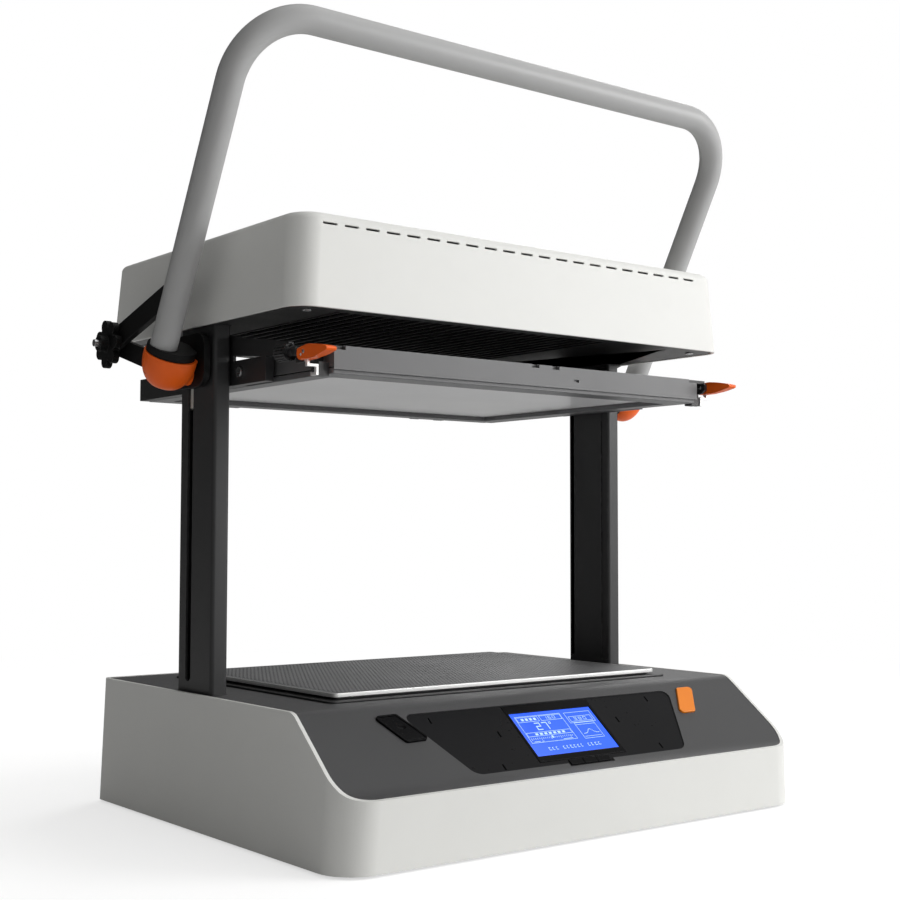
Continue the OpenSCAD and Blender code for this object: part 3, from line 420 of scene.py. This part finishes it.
# ------------------------------------------------------------------ platen: staggered fine perforation
PW, PY0, PY1, PT = 341.3, -82.3, 147.5, 110.9
def perforated(name, x0, x1, y0, y1, z0, z1, pitch, r):
    row = pitch * math.sqrt(3) / 2
    nx = int((x1 - x0 - 5) / pitch); ny = int((y1 - y0 - 5) / row)
    ox = (x0 + x1) / 2 - (nx - 1) * pitch / 2; oy = (y0 + y1) / 2 - (ny - 1) * row / 2
    verts, faces, idx = [], [], {}
    def V(x, y, z):
        k = (round(x * 200), round(y * 200), round(z * 200))
        if k not in idx: idx[k] = len(verts); verts.append((x, y, z))
        return idx[k]
    R = pitch / math.sqrt(3)
    for j in range(ny):
        for i in range(nx - (j % 2)):
            cx = ox + i * pitch + (pitch / 2 if j % 2 else 0); cy = oy + j * row
            O = [V(cx + R * cos(radians(30 + 60 * k)), cy + R * sin(radians(30 + 60 * k)), z1) for k in range(6)]
            I = [V(cx + r * cos(radians(30 + 60 * k)), cy + r * sin(radians(30 + 60 * k)), z1) for k in range(6)]
            B = [V(cx + r * cos(radians(30 + 60 * k)), cy + r * sin(radians(30 + 60 * k)), z0) for k in range(6)]
            for k in range(6):
                m = (k + 1) % 6
                faces.append((O[k], O[m], I[m], I[k])); faces.append((I[k], I[m], B[m], B[k]))
    return verts, faces, (ox, oy, nx, ny, row, R)
pv, pf, (pox, poy, pnx, pny, prow, pR) = perforated("p", -PW / 2 + 1.8, PW / 2 - 1.8, PY0 + 1.8, PY1 - 1.8, PT - 1.6, PT, 3.703, 0.98)
plate = mesh_obj("perforated_platen", pv, pf)
# plain border with one opening under the perforated field
bx0, bx1 = pox - 3.703 / 2 - 0.02, pox + (pnx - 1) * 3.703 + 3.703 / 2 + 0.02
by0, by1 = poy - pR * 0.5, poy + (pny - 1) * prow + pR * 0.5
border = prism("border", plan(PW / 2 - 1.8, PY0 + 1.8, PY1 - 1.8, 2.2, 2.2, 6), 107.6, PT)
boolean(border, box("c", (bx0, by0, 100), (bx1, by1, 120)))
under = box("u", (bx0 - 0.4, by0 - 0.4, PT - 0.45), (bx1 + 0.4, by1 + 0.4, PT - 0.05))
bpy.data.objects.remove(under)
plate = joined("perforated_platen", [plate, border])
for p in plate.data.polygons: p.use_smooth = False
use(plate, "platen_metal", "machine", "platen")
# dark support mat seen through the holes
mat_ = box("platen_support", (bx0 + 4, by0 + 4, 107.7), (bx1 - 4, by1 - 4, 108.6)); soften(mat_, 0.2, 2)
use(mat_, "black_plastic", "machine")

# ------------------------------------------------------------------ heater head
Z0, Z1 = 394.4, 465.6
def heat_ring(i, z, hx, y0, y1, r, rb):
    return at(plan(hx - i, y0 + i, y1 - i, r - i, rb - i, 14), z)
def heat_rings(i, zb, r):
    top = Z1 - i
    rr = [heat_ring(i, zb, 227.9, -115.8, 187.9, 20, 6)]
    for k in range(0, 9):
        a = radians(k * 90 / 8); s = r * (1 - cos(a))
        rr.append(heat_ring(i + s, top - r + r * sin(a), 223.3, -112.4, 184.5, 20 + s * 0.45, 6 + s * 0.6))
    return rr
heat = loft("heater_cover", heat_rings(0, Z0, 6.0))
boolean(heat, loft("c", heat_rings(2.5, Z0 - 5, 4.0)))
cuts = [joined("c", [box("c", ((i - 10) * 19.1 - 5.4 - 6.2, -125, 456.5), ((i - 10) * 19.1 - 5.4 + 6.2, -100, 458.1)) for i in range(21)]),
        joined("c", [box("c", (-92 + i * 14, 170, 415), (-84 + i * 14, 200, 440)) for i in range(13)])]
boolean(heat, cuts)
soften(heat, 0.5, 2, angle=40)
use(heat, "white_shell", "machine", "heater_shell")

# ------------------------------------------------------------------ handle tube
def sweep(name, path, r, n=64, caps=True):
    P = [Vector(p) for p in path]; rings = []
    prev = None
    for i, p in enumerate(P):
        t = (P[min(i + 1, len(P) - 1)] - P[max(i - 1, 0)]).normalized()
        u = Vector((0, 1, 0)) if prev is None else prev
        u = (u - t * u.dot(t)).normalized(); w = t.cross(u); prev = u
        rings.append([tuple(p + u * (r * cos(2 * pi * k / n)) + w * (r * sin(2 * pi * k / n))) for k in range(n)])
    return loft(name, rings)
LX, BR, LL = 257.2, 56.0, 289.0
path = [(-LX, 0, -1.8), (-LX, 0, 60), (-LX, 0, 140), (-LX, 0, LL - BR)]
path += [(-(LX - BR) - BR * cos(radians(a)), 0, LL - BR + BR * sin(radians(a))) for a in [90 * k / 24 for k in range(1, 25)]]
path += [(x, 0, LL) for x in (-150, -75, 0, 75, 150)]
path += [((LX - BR) + BR * sin(radians(a)), 0, LL - BR + BR * cos(radians(a))) for a in [90 * k / 24 for k in range(0, 25)]]
path += [(LX, 0, 140), (LX, 0, 60), (LX, 0, -1.8)]
tube = sweep("handle_bar", path, 10.78)
apply_xf(tube, HAND); soften(tube, 0.4, 2, angle=50, dissolve=0)
use(tube, "tube_metal", "handle", "handle_tube")

# pivot covers: rounded shoe with a diagonal lower outer edge
def pivot_cover(side):
    cx = 249.2
    prof = [(21.2, 15.0)] + [(21.2 * (1 - (k / 31.2) ** 2.3) ** 0.44, 12 - 26 * k / 31.2) for k in range(0, 29)]
    rings = [[(cx + r * cos(2 * pi * i / 128), r * sin(2 * pi * i / 128), z) for i in range(128)] for r, z in prof]
    body = loft("cover", rings)
    boolean(body, box("c", (230.6, -40, -40), (300, 40, 40)), "INTERSECT")
    apply_xf(body, HAND)
    boolean(body, xcyl("c", 230.1, 246, piv[0], piv[1], 9.7, 64), "UNION")
    boolean(body, [apply_xf(cyl("c", (LX, 0), 10.95, -2, 40, 64), HAND), xcyl("c", 229, 245, piv[0], piv[1], 6.05)])
    return body
cr = pivot_cover(1); cl = mirror_x(cr, "cover_l")
cov = joined("pivot_covers", [cr, cl])
soften(cov, 1.2, 4, angle=34, dissolve=0.2)
use(cov, "cover_orange", "handle", "handle_covers")

# ------------------------------------------------------------------ latch levers
def smooth_closed(pts, n=4):
    "Catmull-Rom through a closed outline"
    out = []; N = len(pts)
    for i in range(N):
        p0, p1, p2, p3 = [Vector(pts[(i + k) % N]) for k in (-1, 0, 1, 2)]
        for k in range(n):
            t = k / n
            q = 0.5 * ((2 * p1) + (-p0 + p2) * t + (2 * p0 - 5 * p1 + 4 * p2 - p3) * t * t + (-p0 + 3 * p1 - 3 * p2 + p3) * t ** 3)
            out.append((q.x, q.y))
    return out
LEV = arc(-104.8, 361.2, 5.2, 40, -110, 8) + [(-112, 356.4), (-118, 356.5), (-126, 357.5), (-134, 359.1), (-138.6, 360.1), (-139.6, 361.5), (-138.8, 362.9), (-134, 364.2), (-126, 365.6), (-118, 366.6), (-112, 366.6)]
def lever(name, side):
    o = xprism(name, smooth_closed(LEV, 2), 208, 216.6)
    # waisted in plan: narrow neck behind the hump, full width at the tip
    for v in o.data.vertices:
        y = v.co.y / MM; k = 0.0
        if y < -112: k = 1.5 * math.exp(-((y + 121) / 5.5) ** 2)
        v.co.x += (k if v.co.x < 212.3 * MM else -k) * MM
    boolean(o, [box("c", (210.9, -110.6, 340), (213.7, -90, 362.9)), xcyl("c", 205, 220, -104.6, 359.9, 1.25, 24), xcyl("c", 205, 220, -108, 362, 1.55, 32)])
    if side < 0:
        q = mirror_x(o, name); bpy.data.objects.remove(o); q.name = name; o = q
    soften(o, 1.1, 4, angle=40, dissolve=0.1)
    return o
use(lever("lever_paddle_right", 1), "cover_orange", "lever_right", "latch_lever_right")
use(lever("lever_paddle_left", -1), "cover_orange", "lever_left", "latch_lever_left")

# ------------------------------------------------------------------ carried-over CAD nodes
replaced = set(n for o in bpy.data.objects if "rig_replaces" in o for n in o["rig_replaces"])
WIDTH = {"platen_rim": 0.5, "platen_tray": 0.8, "column_left": 0.7, "column_right": 0.7, "power_key": 0.6, "vacuum_key": 0.7, "vacuum_key_bezel": 0.35,
         "menu_key_left": 0.7, "menu_key_middle": 0.7, "menu_key_right": 0.7, "lower_frame": 0.6, "upper_frame": 0.8, "plastic_sheet": 0.15, "display_screen": 0.1,
         "display_bezel": 0.4, "star_knob_left": 1.1, "star_knob_right": 1.1, "brace_upper": 0.6, "brace_lower": 0.6, "handle_collars": 0.8, "heater_guard": 0.25,
         "heater_plate": 0.3, "latch_hook_left": 0.3, "latch_hook_right": 0.3, "latch_spacers": 0.3, "brace_bolts": 0.4}
LOOK = {"star_knob_left": "near_black", "star_knob_right": "near_black", "brace_upper": "near_black", "brace_lower": "near_black", "carriage_plates": "near_black",
        "vacuum_key": "key_black", "vacuum_key_bezel": "key_black", "display_bezel": "key_black", "menu_key_left": "key_black", "menu_key_middle": "key_black", "menu_key_right": "key_black", "handle_collars": "near_black", "latch_hook_left": "hook_steel", "latch_hook_right": "hook_steel"}
for n, o in NODES.items():
    if n in replaced: continue
    o.data.materials.clear(); o.data.materials.append(M[LOOK.get(n, SLOT[n])])
    soften(o, WIDTH.get(n, 0.4), 3 if WIDTH.get(n, 0) > 0.45 else 2, angle=32, dissolve=0.5, weld=True)

# ------------------------------------------------------------------ stage
fm = bpy.data.materials.new("floor"); fm.use_nodes = True
ft = fm.node_tree; ft.nodes.clear(); FL = ft.links
def fnode(t): return ft.nodes.new(t)
fd = fnode("ShaderNodeBsdfDiffuse"); fd.inputs["Color"].default_value = (0.62, 0.62, 0.62, 1)      # what the camera sees, with soft shadows
fe = fnode("ShaderNodeEmission"); fe.inputs["Color"].default_value = (1, 1, 1, 1); fe.inputs["Strength"].default_value = 0.62
fa = fnode("ShaderNodeAddShader"); FL.new(fd.outputs[0], fa.inputs[0]); FL.new(fe.outputs[0], fa.inputs[1])
fo = fnode("ShaderNodeBsdfDiffuse"); fo.inputs["Color"].default_value = (0.78, 0.78, 0.78, 1)     # what it gives back to the object
fw = fnode("ShaderNodeEmission"); fw.inputs["Color"].default_value = (1, 1, 1, 1); fw.inputs["Strength"].default_value = 1.0
fl = fnode("ShaderNodeLightPath"); m1 = fnode("ShaderNodeMixShader"); m2 = fnode("ShaderNodeMixShader"); fout = fnode("ShaderNodeOutputMaterial")
fg = fnode("ShaderNodeNewGeometry"); fln = fnode("ShaderNodeVectorMath"); fln.operation = "LENGTH"; FL.new(fg.outputs["Position"], fln.inputs[0])
fr = fnode("ShaderNodeMapRange"); fr.interpolation_type = "SMOOTHSTEP"; fr.inputs["From Min"].default_value = 0.5; fr.inputs["From Max"].default_value = 1.6
FL.new(fln.outputs["Value"], fr.inputs["Value"])
FL.new(fr.outputs["Result"], m2.inputs[0]); FL.new(fa.outputs[0], m2.inputs[1]); FL.new(fw.outputs[0], m2.inputs[2])
FL.new(fl.outputs["Is Camera Ray"], m1.inputs[0]); FL.new(fo.outputs[0], m1.inputs[1]); FL.new(m2.outputs[0], m1.inputs[2]); FL.new(m1.outputs[0], fout.inputs[0])
floor = mesh_obj("floor", [(-9, -9, 0), (9, -9, 0), (9, 9, 0), (-9, 9, 0)], [(0, 1, 2, 3)], 1.0)
floor.data.materials.append(fm)

w = bpy.data.worlds.new("studio"); bpy.context.scene.world = w; w.use_nodes = True
nt = w.node_tree; nt.nodes.clear(); L = nt.links
tc = nt.nodes.new("ShaderNodeTexCoord"); nrm = nt.nodes.new("ShaderNodeVectorMath"); nrm.operation = "NORMALIZE"
L.new(tc.outputs["Generated"], nrm.inputs[0])
dt = nt.nodes.new("ShaderNodeVectorMath"); dt.operation = "DOT_PRODUCT"; dt.inputs[1].default_value = Vector((0.62, -0.62, 0.48)).normalized()
L.new(nrm.outputs[0], dt.inputs[0])
rp = nt.nodes.new("ShaderNodeValToRGB"); e = rp.color_ramp.elements
e[0].position = 0.34; e[0].color = (0.018, 0.018, 0.019, 1); e[1].position = 1.0; e[1].color = (0.75, 0.75, 0.74, 1)
mp = nt.nodes.new("ShaderNodeMapRange"); mp.inputs["From Min"].default_value = -1; mp.inputs["From Max"].default_value = 1
L.new(dt.outputs["Value"], mp.inputs["Value"]); L.new(mp.outputs["Result"], rp.inputs["Fac"])
bg1 = nt.nodes.new("ShaderNodeBackground"); L.new(rp.outputs["Color"], bg1.inputs["Color"]); bg1.inputs["Strength"].default_value = 1.0
bg2 = nt.nodes.new("ShaderNodeBackground"); bg2.inputs["Color"].default_value = (1, 1, 1, 1); bg2.inputs["Strength"].default_value = 1.0
lp = nt.nodes.new("ShaderNodeLightPath"); mix = nt.nodes.new("ShaderNodeMixShader"); out = nt.nodes.new("ShaderNodeOutputWorld")
L.new(lp.outputs["Is Camera Ray"], mix.inputs[0]); L.new(bg1.outputs[0], mix.inputs[1]); L.new(bg2.outputs[0], mix.inputs[2]); L.new(mix.outputs[0], out.inputs[0])

def area(name, loc, target, size, power, col=(1, 1, 1)):
    d = bpy.data.lights.new(name, "AREA"); d.shape = "RECTANGLE"; d.size, d.size_y = size; d.energy = power; d.color = col
    o = bpy.data.objects.new(name, d); bpy.context.scene.collection.objects.link(o)
    o.location = loc; o.rotation_euler = (Vector(target) - Vector(loc)).to_track_quat("-Z", "Y").to_euler()
    return o
area("key", (1.85, -1.8, 0.95), (0, 0, 0.28), (1.3, 1.3), 37)
area("top", (0.35, -0.3, 2.2), (0, 0, 0.2), (2.0, 2.0), 9)
area("rim", (1.5, 1.2, 1.5), (0, 0, 0.5), (0.9, 0.9), 10)

cam = bpy.data.cameras.new("cam"); co = bpy.data.objects.new("cam", cam); bpy.context.scene.collection.objects.link(co)
yaw, pitch, roll = radians(37.947), radians(3.2755), radians(0.098)
fwd = Vector((sin(yaw) * cos(pitch), cos(yaw) * cos(pitch), sin(pitch))); right = Vector((cos(yaw), -sin(yaw), 0)); up = right.cross(fwd)
r2 = right * cos(roll) + up * sin(roll); u2 = -right * sin(roll) + up * cos(roll)
mw = Matrix(((r2.x, u2.x, -fwd.x, -0.7731), (r2.y, u2.y, -fwd.y, -0.9941), (r2.z, u2.z, -fwd.z, 0.2304), (0, 0, 0, 1)))
co.matrix_world = mw
cam.sensor_width = 36; cam.lens = 1447.7 * 36 / 900; cam.shift_x = 0.001; cam.shift_y = 0.0008; cam.clip_start = 0.05; cam.clip_end = 50
cam.dof.use_dof = False
bpy.context.scene.camera = co
bpy.context.scene.view_settings.view_transform = "Standard"
